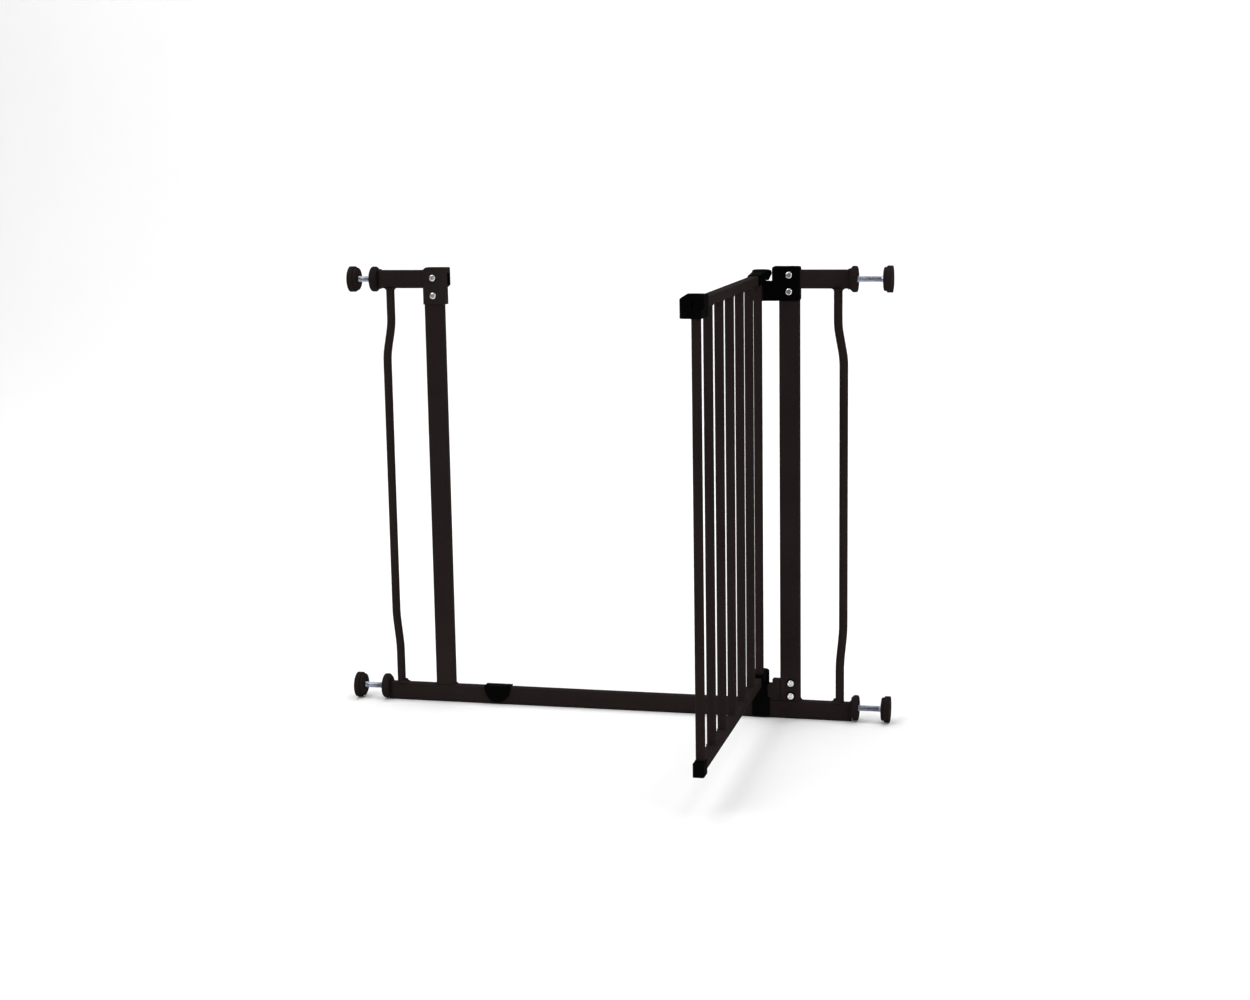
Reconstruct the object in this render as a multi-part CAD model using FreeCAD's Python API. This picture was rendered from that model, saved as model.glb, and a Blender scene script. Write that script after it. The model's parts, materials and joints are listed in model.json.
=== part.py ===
import FreeCAD, Part
import math
import os
from FreeCAD import Vector

# Pressure-fitted safety gate, in millimetres.
# X runs along the threshold bar, -Y is the side the door opens to, +Z is up.
# The origin is the middle of the threshold bar's underside. The door is drawn open at 90 degrees.

# Frame
TUBE_WIDE = 30.0
TUBE_DEEP = 15.0
TUBE_WALL = 1.5
TUBE_CORNER = 2.5
UPRIGHT_X = 300.0
UPRIGHT_WIDE = 33.0
FRAME_TOP = 742.0
BASE_HALF = 398.5
ARM_END = 395.0
SIDE_BAR_R = 7.0
SIDE_BAR_WALL = 1.2
SIDE_BAR_FOOT_X = 382.0
SIDE_BAR_MIDDLE_X = 387.5
SIDE_BAR_HEAD_X = 378.3
SIDE_BAR_STEPS = (95.0, 150.0, 600.0, 650.0)

# Spindles, hand wheels and wall feet. Each reach is from X = 0 to the wall.
SPINDLE_R = 5.0
THREAD_PITCH = 1.5
THREAD_DEPTH = 0.7
SPINDLE_LENGTH = 96.0
FLANGE_THICK = 3.0
WHEEL_R = 21.0
WHEEL_THICK = 11.5
WHEEL_LOBES = 20
WHEEL_LOBE_DEPTH = 0.7
FOOT_R = 19.2
CUP_R = 21.5
BOTTOM_AXIS_Z = CUP_R
WALL_REACH = {"top_left": 448.0, "bottom_left": 463.0, "top_right": 465.5, "bottom_right": 465.0}

# Door
HINGE_X = 251.5
BAR_R = 7.0
BAR_WALL = 1.2
BAR_COUNT = 7
BAR_PITCH = 82.0
FIRST_BAR = 20.5
RAIL = 15.0
RAIL_WALL = 1.5
TOP_RAIL_TOP = 735.0
BOTTOM_RAIL_BOTTOM = 61.0
PIN_R = 4.0
PIN_GAP = 0.06

# Screws
SCREW_R = 2.5
SCREW_HEAD_R = 5.7
SCREW_HEAD_H = 3.0
NUT_FLAT = 8.0
NUT_H = 4.0
WASHER_R = 7.4
WASHER_THICK = 0.6

# Latch
BOLT_SIDE = 11.4
BOLT_LENGTH = 61.0
BOLT_RAMP = 5.0
BOLT_TRAVEL = 11.5

# Worked out from the sizes above
HALF_WIDE = TUBE_WIDE / 2.0
HALF_DEEP = TUBE_DEEP / 2.0
TOP_AXIS_Z = FRAME_TOP - HALF_WIDE
HALF_UPRIGHT = UPRIGHT_WIDE / 2.0
INNER_X = UPRIGHT_X - HALF_UPRIGHT
OUTER_X = UPRIGHT_X + HALF_UPRIGHT
HALF_RAIL = RAIL / 2.0
TOP_RAIL_BOTTOM = TOP_RAIL_TOP - RAIL
BOTTOM_RAIL_TOP = BOTTOM_RAIL_BOTTOM + RAIL
TOP_RAIL_AXIS_Z = TOP_RAIL_TOP - HALF_RAIL
RAIL_START = 15.0
LAST_BAR = FIRST_BAR + (BAR_COUNT - 1) * BAR_PITCH
RAIL_END = LAST_BAR + BAR_R
HOUSING_Y = HALF_DEEP + 2.5
HEAD_RECESS = 0.8
TOP_SCREWS = {-UPRIGHT_X: (729.2, 699.6), UPRIGHT_X: (733.7, 707.2)}
BOTTOM_SCREWS = (59.8, 38.1)
BOTTOM_SCREW_X = UPRIGHT_X + 1.5

X_AXIS = Vector(1, 0, 0)
Y_AXIS = Vector(0, 1, 0)
Z_AXIS = Vector(0, 0, 1)


def box(x0, x1, y0, y1, z0, z1):
    return Part.makeBox(x1 - x0, y1 - y0, z1 - z0, Vector(x0, y0, z0))


def rod(radius, start, axis, length):
    return Part.makeCylinder(radius, length, start, axis)


def along(shape, axis):
    """The straight edges of a shape that run along an axis."""
    picked = []
    for edge in shape.Edges:
        if len(edge.Vertexes) < 2:
            continue
        run = edge.Vertexes[1].Point.sub(edge.Vertexes[0].Point)
        if abs(run.normalize().dot(axis)) > 0.999 and edge.Curve.TypeId == "Part::GeomLine":
            picked.append(edge)
    return picked


def rounded(shape, axis, radius):
    return shape.makeFillet(radius, along(shape, axis))


def edges_near(shape, test):
    return [edge for edge in shape.Edges if test(edge.BoundBox)]


def tube(x0, x1, y0, y1, z0, z1, axis, corner, wall):
    """A rectangular tube, open at both ends, that runs along an axis."""
    outer = rounded(box(x0, x1, y0, y1, z0, z1), axis, corner)
    grow = Vector(wall, wall, wall) - axis * (wall + 1.0)
    inner = box(x0 + grow.x, x1 - grow.x, y0 + grow.y, y1 - grow.y, z0 + grow.z, z1 - grow.z)
    return outer.cut(rounded(inner, axis, max(corner - wall, 0.5)))


def prism_y(points, y0, y1):
    """A flat outline in X and Z, pushed along Y."""
    ring = [Vector(x, y0, z) for x, z in points]
    return Part.Face(Part.makePolygon(ring + ring[:1])).extrude(Vector(0, y1 - y0, 0))


def mirrored_x(shape):
    return shape.mirror(Vector(0, 0, 0), X_AXIS)


def on_door(shape):
    """Moves a door piece from its drawing place (distance from the hinge along X, across the door
    along Y) to the open pose, in which the door runs from the hinge to the -Y side."""
    turned = shape.copy()
    turned.rotate(Vector(0, 0, 0), Z_AXIS, -90.0)
    turned.translate(Vector(HINGE_X, 0, 0))
    return turned


def save(name, *shapes):
    whole = shapes[0] if len(shapes) == 1 else Part.makeCompound(list(shapes))
    whole.exportStep("parts/%s.step" % name)


# ---------------------------------------------------------------- frame


def base_tube():
    body = tube(-BASE_HALF, BASE_HALF, -HALF_DEEP, HALF_DEEP, 0, TUBE_WIDE, X_AXIS, TUBE_CORNER, TUBE_WALL)
    pin_hole = rod(PIN_R, Vector(HINGE_X, 0, TUBE_WIDE / 2), Z_AXIS, TUBE_WIDE)
    return body.cut(pin_hole)


TONGUE_Y = 4.8
TONGUE_Z = (33.0, 62.0)


def screw_places():
    """Each screw's X and Z, the Y that its head sits on and the Y that its nut sits on."""
    seat = HEAD_RECESS - HOUSING_Y
    places = [(x, z, seat, HOUSING_Y) for x, heights in TOP_SCREWS.items() for z in heights]
    return places + [(BOTTOM_SCREW_X, z, -HALF_DEEP - WASHER_THICK, HALF_DEEP) for z in BOTTOM_SCREWS]


def upright(side):
    x = side * UPRIGHT_X
    body = tube(x - HALF_UPRIGHT, x + HALF_UPRIGHT, -HALF_DEEP, HALF_DEEP, TUBE_WIDE, FRAME_TOP,
                Z_AXIS, TUBE_CORNER, TUBE_WALL)
    if side > 0:
        body = body.cut(box(INNER_X - 1, INNER_X + TUBE_WALL + 1, -TONGUE_Y - 0.2, TONGUE_Y + 0.2,
                            TONGUE_Z[0] - 0.2, TONGUE_Z[1] + 0.2))
    for screw_x, z, _, _ in screw_places():
        if screw_x * side > 0:
            body = body.cut(rod(SCREW_R, Vector(screw_x, -TUBE_DEEP, z), Y_AXIS, 2 * TUBE_DEEP))
    return body


def top_arm(side):
    x0, x1 = sorted((side * OUTER_X, side * ARM_END))
    return tube(x0, x1, -HALF_DEEP, HALF_DEEP, FRAME_TOP - TUBE_WIDE, FRAME_TOP,
                X_AXIS, TUBE_CORNER, TUBE_WALL)


def side_bar_path():
    """Straight runs joined by arcs: vertical, outwards, vertical, back in, vertical."""
    low, low_end, high, high_end = SIDE_BAR_STEPS
    corners = [(SIDE_BAR_FOOT_X, TUBE_WIDE), (SIDE_BAR_FOOT_X, low), (SIDE_BAR_MIDDLE_X, low_end),
               (SIDE_BAR_MIDDLE_X, high), (SIDE_BAR_HEAD_X, high_end), (SIDE_BAR_HEAD_X, FRAME_TOP - TUBE_WIDE)]
    points = [Vector(x, 0, z) for x, z in corners]
    bend = 12.0
    edges = []
    start = points[0]
    for before, corner, after in zip(points, points[1:], points[2:]):
        come = corner.sub(before).normalize()
        go = after.sub(corner).normalize()
        arc_in = corner.sub(come * bend)
        arc_out = corner.add(go * bend)
        inward = go.sub(come).normalize()
        half_turn = math.acos(max(-1.0, min(1.0, come.dot(go)))) / 2
        radius = bend / math.tan(half_turn)
        middle = corner.add(inward * (radius / math.cos(half_turn) - radius))
        edges.append(Part.makeLine(start, arc_in))
        edges.append(Part.Arc(arc_in, middle, arc_out).toShape())
        start = arc_out
    edges.append(Part.makeLine(start, points[-1]))
    return Part.Wire(edges)


def side_bar(side):
    path = side_bar_path()
    start = Vector(SIDE_BAR_FOOT_X, 0, TUBE_WIDE)
    solids = []
    for radius in (SIDE_BAR_R, SIDE_BAR_R - SIDE_BAR_WALL):
        ring = Part.Wire(Part.makeCircle(radius, start, Z_AXIS))
        solids.append(path.makePipeShell([ring], True, False))
    bar = solids[0].cut(solids[1])
    return mirrored_x(bar) if side < 0 else bar


def end_bush(side, tube_end, tube_bottom, axis_z):
    """A plastic bush: a flange on the tube's end and a plug inside it, bored for the spindle."""
    tube_top = tube_bottom + TUBE_WIDE
    proud = 1.5
    plug_length = 20.0
    fit = 0.1
    bore_r = SPINDLE_R + 0.3
    flange = box(tube_end, tube_end + FLANGE_THICK, -HALF_DEEP - proud, HALF_DEEP + proud,
                 max(tube_bottom - proud, 0.0), tube_top + proud)
    flange = rounded(flange, X_AXIS, TUBE_CORNER + proud)
    outer_rim = edges_near(flange, lambda b: b.XMin > tube_end + FLANGE_THICK - 0.01)
    flange = flange.makeFillet(1.2, outer_rim)
    inset = TUBE_WALL + fit
    plug = box(tube_end - plug_length, tube_end, inset - HALF_DEEP, HALF_DEEP - inset,
               tube_bottom + inset, tube_top - inset)
    bush = flange.fuse(rounded(plug, X_AXIS, 1.0))
    bush = bush.cut(rod(bore_r, Vector(tube_end - plug_length - 1, 0, axis_z), X_AXIS, plug_length * 2))
    return mirrored_x(bush) if side < 0 else bush


RECEIVER_MOUTH = -274.6


def receiver_outline():
    left = -OUTER_X - 1.0
    low_right = -279.3
    return [(left, 685), (left, 742.5), (left + 5, 746.5), (RECEIVER_MOUTH - 1.5, 746.5), (RECEIVER_MOUTH, 745),
            (RECEIVER_MOUTH, 717), (low_right, 712.5), (low_right, 685)]


POCKET_X = (-INNER_X + 1.0, RECEIVER_MOUTH)
POCKET_Z = (717.5, 737.5)
POCKET_Y = 7.7


def round_front(shape, y, radius):
    """Rounds the rim of the face that lies at a given Y."""
    rim = edges_near(shape, lambda b: abs(b.YMin - y) < 0.01 and abs(b.YMax - y) < 0.01)
    return shape.makeFillet(radius, rim)


def frame_corner(side):
    """The upright's top end and its arm, solid, as the space that a housing is cut from."""
    x = side * UPRIGHT_X
    post = box(x - HALF_UPRIGHT, x + HALF_UPRIGHT, -HALF_DEEP, HALF_DEEP, 600, FRAME_TOP)
    x0, x1 = sorted((side * (OUTER_X - 1), side * (OUTER_X + 20)))
    return post.fuse(box(x0, x1, -HALF_DEEP, HALF_DEEP, FRAME_TOP - TUBE_WIDE, FRAME_TOP))


def screw_holes(x, heights):
    """Clearance for the screws' shanks, with a shallow recess for each head."""
    holes = [rod(SCREW_R + 0.1, Vector(x, -40, z), Y_AXIS, 80) for z in heights]
    holes += [rod(SCREW_HEAD_R + 0.6, Vector(x, -HOUSING_Y - 1, z), Y_AXIS, 1 + HEAD_RECESS) for z in heights]
    return holes


def latch_receiver():
    body = round_front(prism_y(receiver_outline(), -HOUSING_Y, HALF_DEEP), -HOUSING_Y, 1.5)
    body = body.cut(frame_corner(-1))
    pocket = box(POCKET_X[0], POCKET_X[1] + 5, -POCKET_Y, HALF_DEEP + 5, *POCKET_Z)
    body = body.cut(pocket)
    for hole in screw_holes(-UPRIGHT_X, TOP_SCREWS[-UPRIGHT_X]):
        body = body.cut(hole)
    return body


def latch_receiver_cover():
    cover = round_front(prism_y(receiver_outline(), HALF_DEEP, HOUSING_Y), HOUSING_Y, 1.2)
    cover = cover.cut(box(POCKET_X[0], POCKET_X[1] + 5, HALF_DEEP - 1, POCKET_Y, *POCKET_Z))
    for z in TOP_SCREWS[-UPRIGHT_X]:
        cover = cover.cut(rod(SCREW_R + 0.1, Vector(-UPRIGHT_X, 0, z), Y_AXIS, 40))
    return cover


def strike_plate():
    """A steel channel that lines the pocket: back wall and two lips, open to the door."""
    metal = 1.2
    outer = box(POCKET_X[0], POCKET_X[1] - 0.4, -POCKET_Y, POCKET_Y, POCKET_Z[0] + 0.2, POCKET_Z[1] - 0.2)
    inner = box(POCKET_X[0] + metal, POCKET_X[1] + 5, metal - POCKET_Y, POCKET_Y - metal, 700, 750)
    return outer.cut(inner)


def top_hinge_outline():
    right = OUTER_X + 1.0
    left = 272.6
    return [(left, 692.5), (right, 692.5), (right, 747.5), (left, 747.5)]


HINGE_BOSS_R = 12.5
HINGE_BOSS_Z = (692.5, 724.0)
PIVOT_BOSS_R = 12.9
PIVOT_TOP = 56.6
BLOCK_HALF = 14.5
BLOCK_END = HINGE_X + BLOCK_HALF
BLOCK_TOP = TUBE_WIDE + 4.0


def top_hinge_bracket():
    body = rounded(prism_y(top_hinge_outline(), -HOUSING_Y, HALF_DEEP), Y_AXIS, 3.5)
    body = round_front(body, -HOUSING_Y, 1.5)
    boss = rod(HINGE_BOSS_R, Vector(HINGE_X, 0, HINGE_BOSS_Z[0]), Z_AXIS, HINGE_BOSS_Z[1] - HINGE_BOSS_Z[0])
    web = box(HINGE_X, 280, -HOUSING_Y + 0.5, HALF_DEEP, *HINGE_BOSS_Z)
    body = body.fuse([boss, web]).removeSplitter()
    body = body.cut(frame_corner(1))
    body = body.cut(rod(PIN_R, Vector(HINGE_X, 0, HINGE_BOSS_Z[0] + 4), Z_AXIS, 60))
    for hole in screw_holes(UPRIGHT_X, TOP_SCREWS[UPRIGHT_X]):
        body = body.cut(hole)
    return body


def top_hinge_bracket_cover():
    cover = rounded(prism_y(top_hinge_outline(), HALF_DEEP, HOUSING_Y), Y_AXIS, 3.5)
    cover = round_front(cover, HOUSING_Y, 1.2)
    for z in TOP_SCREWS[UPRIGHT_X]:
        cover = cover.cut(rod(SCREW_R + 0.1, Vector(UPRIGHT_X, 0, z), Y_AXIS, 40))
    return cover


def bottom_hinge_bracket():
    """A stepped block between the upright and the pivot block. Its tongue goes through a window in the
    upright's inner wall, and the two bottom screws hold it there."""
    step_x = 270.5
    top = 65.0
    ledge = 56.5
    hollow_r = PIVOT_BOSS_R + 0.4
    outline = [(BLOCK_END + 0.3, TUBE_WIDE + 0.2), (INNER_X, TUBE_WIDE + 0.2), (INNER_X, top), (step_x, top),
               (step_x, ledge), (HINGE_X + 10, ledge), (HINGE_X + 10, BLOCK_TOP + 0.4),
               (BLOCK_END + 0.3, BLOCK_TOP + 0.4)]
    body = prism_y(outline, -HALF_DEEP, HALF_DEEP)
    body = round_front(body, -HALF_DEEP, 0.6)
    body = body.cut(rod(hollow_r, Vector(HINGE_X, 0, 0), Z_AXIS, 100))
    body = body.fuse(box(INNER_X - 1, OUTER_X - 5, -TONGUE_Y, TONGUE_Y, *TONGUE_Z)).removeSplitter()
    for z in BOTTOM_SCREWS:
        body = body.cut(rod(SCREW_R + 0.1, Vector(BOTTOM_SCREW_X, -40, z), Y_AXIS, 80))
    return body




def bottom_pivot_block():
    """A saddle over the threshold bar with a round boss on top that holds the bottom hinge pin."""
    cheek = HALF_DEEP + 3.0
    body = box(HINGE_X - BLOCK_HALF, BLOCK_END, -cheek, cheek, 2.5, BLOCK_TOP)
    body = rounded(body, Y_AXIS, 3.0)
    body = body.fuse(rod(PIVOT_BOSS_R, Vector(HINGE_X, 0, TUBE_WIDE), Z_AXIS, PIVOT_TOP - TUBE_WIDE))
    body = body.removeSplitter()
    body = body.cut(box(-BASE_HALF, BASE_HALF, -HALF_DEEP, HALF_DEEP, 0, TUBE_WIDE))
    return body.cut(rod(PIN_R, Vector(HINGE_X, 0, 0), Z_AXIS, 100))


def threshold_clip():
    """A half-moon plate on the bar's front face, hooked over its top and its back."""
    centre_x = -206.5
    half_wide = 23.0
    top = TUBE_WIDE
    deep = 27.0
    front = -HALF_DEEP - 2.5
    back = HALF_DEEP + 2.0
    lip_top = TUBE_WIDE + 1.8
    steps = 24
    ring = []
    for i in range(steps + 1):
        turn = math.pi * i / steps
        ring.append(Vector(centre_x - half_wide * math.cos(turn), front, top - deep * math.sin(turn)))
    curve = Part.BSplineCurve()
    curve.interpolate(ring)
    face = Part.Face(Part.Wire([curve.toShape(), Part.makeLine(ring[-1], ring[0])]))
    plate = face.extrude(Vector(0, -HALF_DEEP - front, 0))
    lip = box(centre_x - half_wide, centre_x + half_wide, front, back, TUBE_WIDE, lip_top)
    hook = box(centre_x - 16, centre_x + 16, HALF_DEEP, back, TUBE_WIDE - 9, TUBE_WIDE)
    clip = plate.fuse([lip, hook])
    for x in (-17.5, 17.5):
        nub = Part.makeSphere(2.4, Vector(centre_x + x, front + 3.2, lip_top))
        clip = clip.fuse(nub.common(box(centre_x - 40, centre_x + 40, -20, 20, lip_top - 0.5, lip_top + 6)))
    return clip


def pan_head_screw(x, z, front, back):
    """A domed head and a plain shank, along Y. The top screws have a cross recess, and the bottom ones
    a round recess with a pin."""
    shank = rod(SCREW_R, Vector(x, front, z), Y_AXIS, back + NUT_H + 1.0 - front)
    head = rod(SCREW_HEAD_R, Vector(x, front - SCREW_HEAD_H, z), Y_AXIS, SCREW_HEAD_H)
    rim = edges_near(head, lambda b: b.YMax < front - SCREW_HEAD_H + 0.01)
    head = head.makeFillet(2.2, rim)
    screw = head.fuse(shank)
    slot = 1.1
    reach = 2.9
    recess = front - SCREW_HEAD_H + 1.8
    if z < FRAME_TOP / 2:
        socket = Vector(x, recess - 5.0, z)
        return screw.cut(rod(2.6, socket, Y_AXIS, 5.0).cut(rod(1.1, socket, Y_AXIS, 5.0)))
    for dx, dz in ((slot / 2, reach), (reach, slot / 2)):
        screw = screw.cut(box(x - dx, x + dx, -40, recess, z - dz, z + dz))
    return screw


def nut(x, z, back):
    """A hexagon nut behind a housing or the upright."""
    corner = NUT_FLAT / math.sqrt(3)
    ring = [(x + corner * math.cos(math.radians(60 * i)), z + corner * math.sin(math.radians(60 * i)))
            for i in range(6)]
    body = prism_y(ring, back, back + NUT_H)
    return body.cut(rod(SCREW_R, Vector(x, 0, z), Y_AXIS, 40))


def screw_washer(z):
    """A thin ring under a screw that bears on the upright itself."""
    start = Vector(BOTTOM_SCREW_X, -HALF_DEEP - WASHER_THICK, z)
    return rod(WASHER_R, start, Y_AXIS, WASHER_THICK).cut(rod(SCREW_R + 0.1, start, Y_AXIS, WASHER_THICK))


def hinge_pin(z0, z1):
    pin = rod(PIN_R, Vector(HINGE_X, 0, z0), Z_AXIS, z1 - z0)
    return pin.makeChamfer(0.6, [e for e in pin.Edges if e.Curve.TypeId == "Part::GeomCircle"])


def hinge_washer(z):
    thick = 1.2
    ring = rod(10.0, Vector(HINGE_X, 0, z), Z_AXIS, thick)
    return ring.cut(rod(PIN_R + 0.1, Vector(HINGE_X, 0, z - 1), Z_AXIS, thick + 2))


# ---------------------------------------------------------------- spindles
# Drawn for the right side, along +X from X = 0, then moved out to the wall.

CUP_THICK = 9.0
CUP_RECESS = 2.0
FOOT_THICK = 7.0
SOCKET_DEPTH = 4.0


def spindle(reach, axis_z):
    """A threaded rod: rings of the thread's own profile, and a plain end in the foot."""
    tip = reach - CUP_THICK + CUP_RECESS - FOOT_THICK + SOCKET_DEPTH
    start = tip - SPINDLE_LENGTH
    root_r = SPINDLE_R - THREAD_DEPTH
    plain = 8.0
    turns = int((SPINDLE_LENGTH - plain) / THREAD_PITCH)
    profile = [Vector(start, 0, 0), Vector(start, root_r, 0)]
    for i in range(turns):
        left = start + i * THREAD_PITCH
        profile.append(Vector(left + 0.5 * THREAD_PITCH, SPINDLE_R, 0))
        profile.append(Vector(left + 0.6 * THREAD_PITCH, SPINDLE_R, 0))
        profile.append(Vector(left + THREAD_PITCH, root_r, 0))
    profile += [Vector(tip - plain + 1, SPINDLE_R, 0), Vector(tip, SPINDLE_R, 0), Vector(tip, 0, 0)]
    face = Part.Face(Part.makePolygon(profile + profile[:1]))
    body = face.revolve(Vector(0, 0, 0), X_AXIS, 360)
    body.translate(Vector(0, 0, axis_z))
    return body


def hand_wheel(tube_end, axis_z):
    """A scalloped wheel that bears on the end bush, bored for the spindle."""
    start = tube_end + FLANGE_THICK + 0.2
    body = rod(WHEEL_R, Vector(start, 0, axis_z), X_AXIS, WHEEL_THICK)
    body = body.makeChamfer(3.8, edges_near(body, lambda b: b.XMax < start + 0.01))
    body = body.makeFillet(2.5, edges_near(body, lambda b: b.XMin > start + WHEEL_THICK - 0.01))
    scallop_r = 3.0
    scallop_at = WHEEL_R + scallop_r - WHEEL_LOBE_DEPTH
    for i in range(WHEEL_LOBES):
        turn = 2 * math.pi * (i + 0.5) / WHEEL_LOBES
        centre = Vector(start - 1, scallop_at * math.cos(turn), axis_z + scallop_at * math.sin(turn))
        body = body.cut(rod(scallop_r, centre, X_AXIS, WHEEL_THICK + 2))
    dish = rod(12.5, Vector(start + WHEEL_THICK - 1.5, 0, axis_z), X_AXIS, 5)
    collar = rod(8.0, Vector(start + 1, 0, axis_z), X_AXIS, WHEEL_THICK - 1)
    body = body.cut(dish).fuse(collar)
    return body.cut(rod(SPINDLE_R + PIN_GAP, Vector(start - 5, 0, axis_z), X_AXIS, 30))


def spindle_foot(reach, axis_z):
    outer = reach - CUP_THICK + CUP_RECESS
    body = rod(FOOT_R, Vector(outer - FOOT_THICK, 0, axis_z), X_AXIS, FOOT_THICK)
    inner_rim = edges_near(body, lambda b: b.XMax < outer - FOOT_THICK + 0.01)
    body = body.makeFillet(2.0, inner_rim)
    return body.cut(rod(SPINDLE_R, Vector(outer - FOOT_THICK, 0, axis_z), X_AXIS, SOCKET_DEPTH))


def wall_cup(reach, axis_z):
    body = rod(CUP_R, Vector(reach - CUP_THICK, 0, axis_z), X_AXIS, CUP_THICK)
    inner_rim = edges_near(body, lambda b: b.XMax < reach - CUP_THICK + 0.01)
    body = body.makeFillet(1.2, inner_rim)
    return body.cut(rod(FOOT_R + 0.2, Vector(reach - CUP_THICK, 0, axis_z), X_AXIS, CUP_RECESS))


# ---------------------------------------------------------------- door
# Drawn with the distance from the hinge along X and the width of the door along Y.
# Y = +12 is the right side of the open door, and Y = -22 is the side with the grip.


def door_rail(z0):
    rail = tube(RAIL_START, RAIL_END, -HALF_RAIL, HALF_RAIL, z0, z0 + RAIL, X_AXIS, 1.5, RAIL_WALL)
    return rail


SLIDE_HALF = 5.5
SLIDE_START = 480.0
SLIDE_LENGTH = 20.0
SLIDE_TOP = 739.5
STEM_START = 485.0
STEM_LENGTH = 8.0
STEM_HALF = 2.8


def door_top_rail():
    slot = box(STEM_START - 1, STEM_START + STEM_LENGTH + BOLT_TRAVEL + 1, -STEM_HALF - 0.3, STEM_HALF + 0.3,
               TOP_RAIL_AXIS_Z, TOP_RAIL_TOP + 1)
    return door_rail(TOP_RAIL_BOTTOM).cut(slot)


def door_bar(number):
    at = FIRST_BAR + (number - 1) * BAR_PITCH
    length = TOP_RAIL_BOTTOM - BOTTOM_RAIL_TOP
    outer = rod(BAR_R, Vector(at, 0, BOTTOM_RAIL_TOP), Z_AXIS, length)
    return outer.cut(rod(BAR_R - BAR_WALL, Vector(at, 0, BOTTOM_RAIL_TOP - 1), Z_AXIS, length + 2))


def rail_plug(z0, start, end):
    """The part of a cap that fills the end of a rail."""
    gap = RAIL_WALL + 0.1
    plug = box(start, end, gap - HALF_RAIL, HALF_RAIL - gap, z0 + gap, z0 + RAIL - gap)
    return rounded(plug, X_AXIS, 0.8)


def top_hinge_cap():
    """A round nose over the hinge, cut flat on the grip side, with a sleeve that slopes to the rail."""
    low = 725.5
    top = 742.0
    half = 10.0
    sleeve_end = 57.0
    profile = [(0, low), (14.5, low), (19.2, 735), (19.2, 738), (18, 740.8), (15, top), (0, top)]
    ring = [Vector(x, 0, z) for x, z in profile]
    nose = Part.Face(Part.makePolygon(ring + ring[:1])).revolve(Vector(0, 0, 0), Z_AXIS, 360)
    nose = nose.cut(box(-30, 30, -30, -half, low - 1, top + 1))
    neck = prism_y([(-5, low), (RAIL_START - 0.5, low), (RAIL_START - 0.5, TOP_RAIL_BOTTOM),
                    (sleeve_end, TOP_RAIL_BOTTOM), (sleeve_end, 736.3), (-5, top)], -half, half)
    neck = neck.makeFillet(1.2, edges_near(neck, lambda b: b.ZMin > 736.2 and b.XLength > 40))
    cap = nose.fuse(neck).removeSplitter()
    rail_space = box(RAIL_START, sleeve_end + 5, -HALF_RAIL, HALF_RAIL, TOP_RAIL_BOTTOM - 1, TOP_RAIL_TOP)
    cap = cap.cut(rail_space).fuse(rail_plug(TOP_RAIL_BOTTOM, RAIL_START - 0.5, 32))
    cap = cap.removeSplitter()
    return cap.cut(rod(PIN_R + PIN_GAP, Vector(0, 0, low - 1), Z_AXIS, 13.5))


def bottom_hinge_cap():
    low = 58.1
    top = 79.5
    half = 9.5
    bore_top = 75.6
    barrel = rod(PIVOT_BOSS_R, Vector(0, 0, low), Z_AXIS, top - low)
    barrel = barrel.makeFillet(1.8, edges_near(barrel, lambda b: b.ZMin > top - 0.01))
    neck = rounded(box(0, 45, -half, half, BOTTOM_RAIL_BOTTOM - 2, BOTTOM_RAIL_TOP + 1.5),
                   X_AXIS, 1.4)
    cap = barrel.fuse(neck)
    cap = cap.cut(box(RAIL_START, 60, -HALF_RAIL, HALF_RAIL, BOTTOM_RAIL_BOTTOM, BOTTOM_RAIL_TOP))
    cap = cap.fuse(rail_plug(BOTTOM_RAIL_BOTTOM, RAIL_START - 0.5, 32))
    cap = cap.cut(rod(BAR_R + 0.1, Vector(FIRST_BAR, 0, BOTTOM_RAIL_TOP), Z_AXIS, 30))
    return cap.cut(rod(PIN_R + PIN_GAP, Vector(0, 0, low - 1), Z_AXIS, bore_top + 1 - low))


def bottom_rail_end_cap():
    half = HALF_RAIL + 0.9
    low = BOTTOM_RAIL_BOTTOM - 4.5
    top = BOTTOM_RAIL_TOP + 2.0
    end = RAIL_END + 12.0
    start = RAIL_END - 16.0
    cap = box(start, end, -half, half, low, top)
    cap = rounded(cap, Z_AXIS, 3.0)
    cap = cap.makeChamfer(2.0, edges_near(cap, lambda b: b.ZMin > top - 0.01))
    cap = cap.cut(box(start - 5, RAIL_END, -HALF_RAIL, HALF_RAIL, BOTTOM_RAIL_BOTTOM, BOTTOM_RAIL_TOP))
    cap = cap.fuse(rail_plug(BOTTOM_RAIL_BOTTOM, RAIL_END - 12, RAIL_END + 0.5))
    return cap.cut(rod(BAR_R + 0.1, Vector(LAST_BAR, 0, BOTTOM_RAIL_TOP - 0.001), Z_AXIS, 30))


HANDLE_START = 474.0
HANDLE_END = RAIL_END + 1.5
HANDLE_TOP = 742.2


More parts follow.
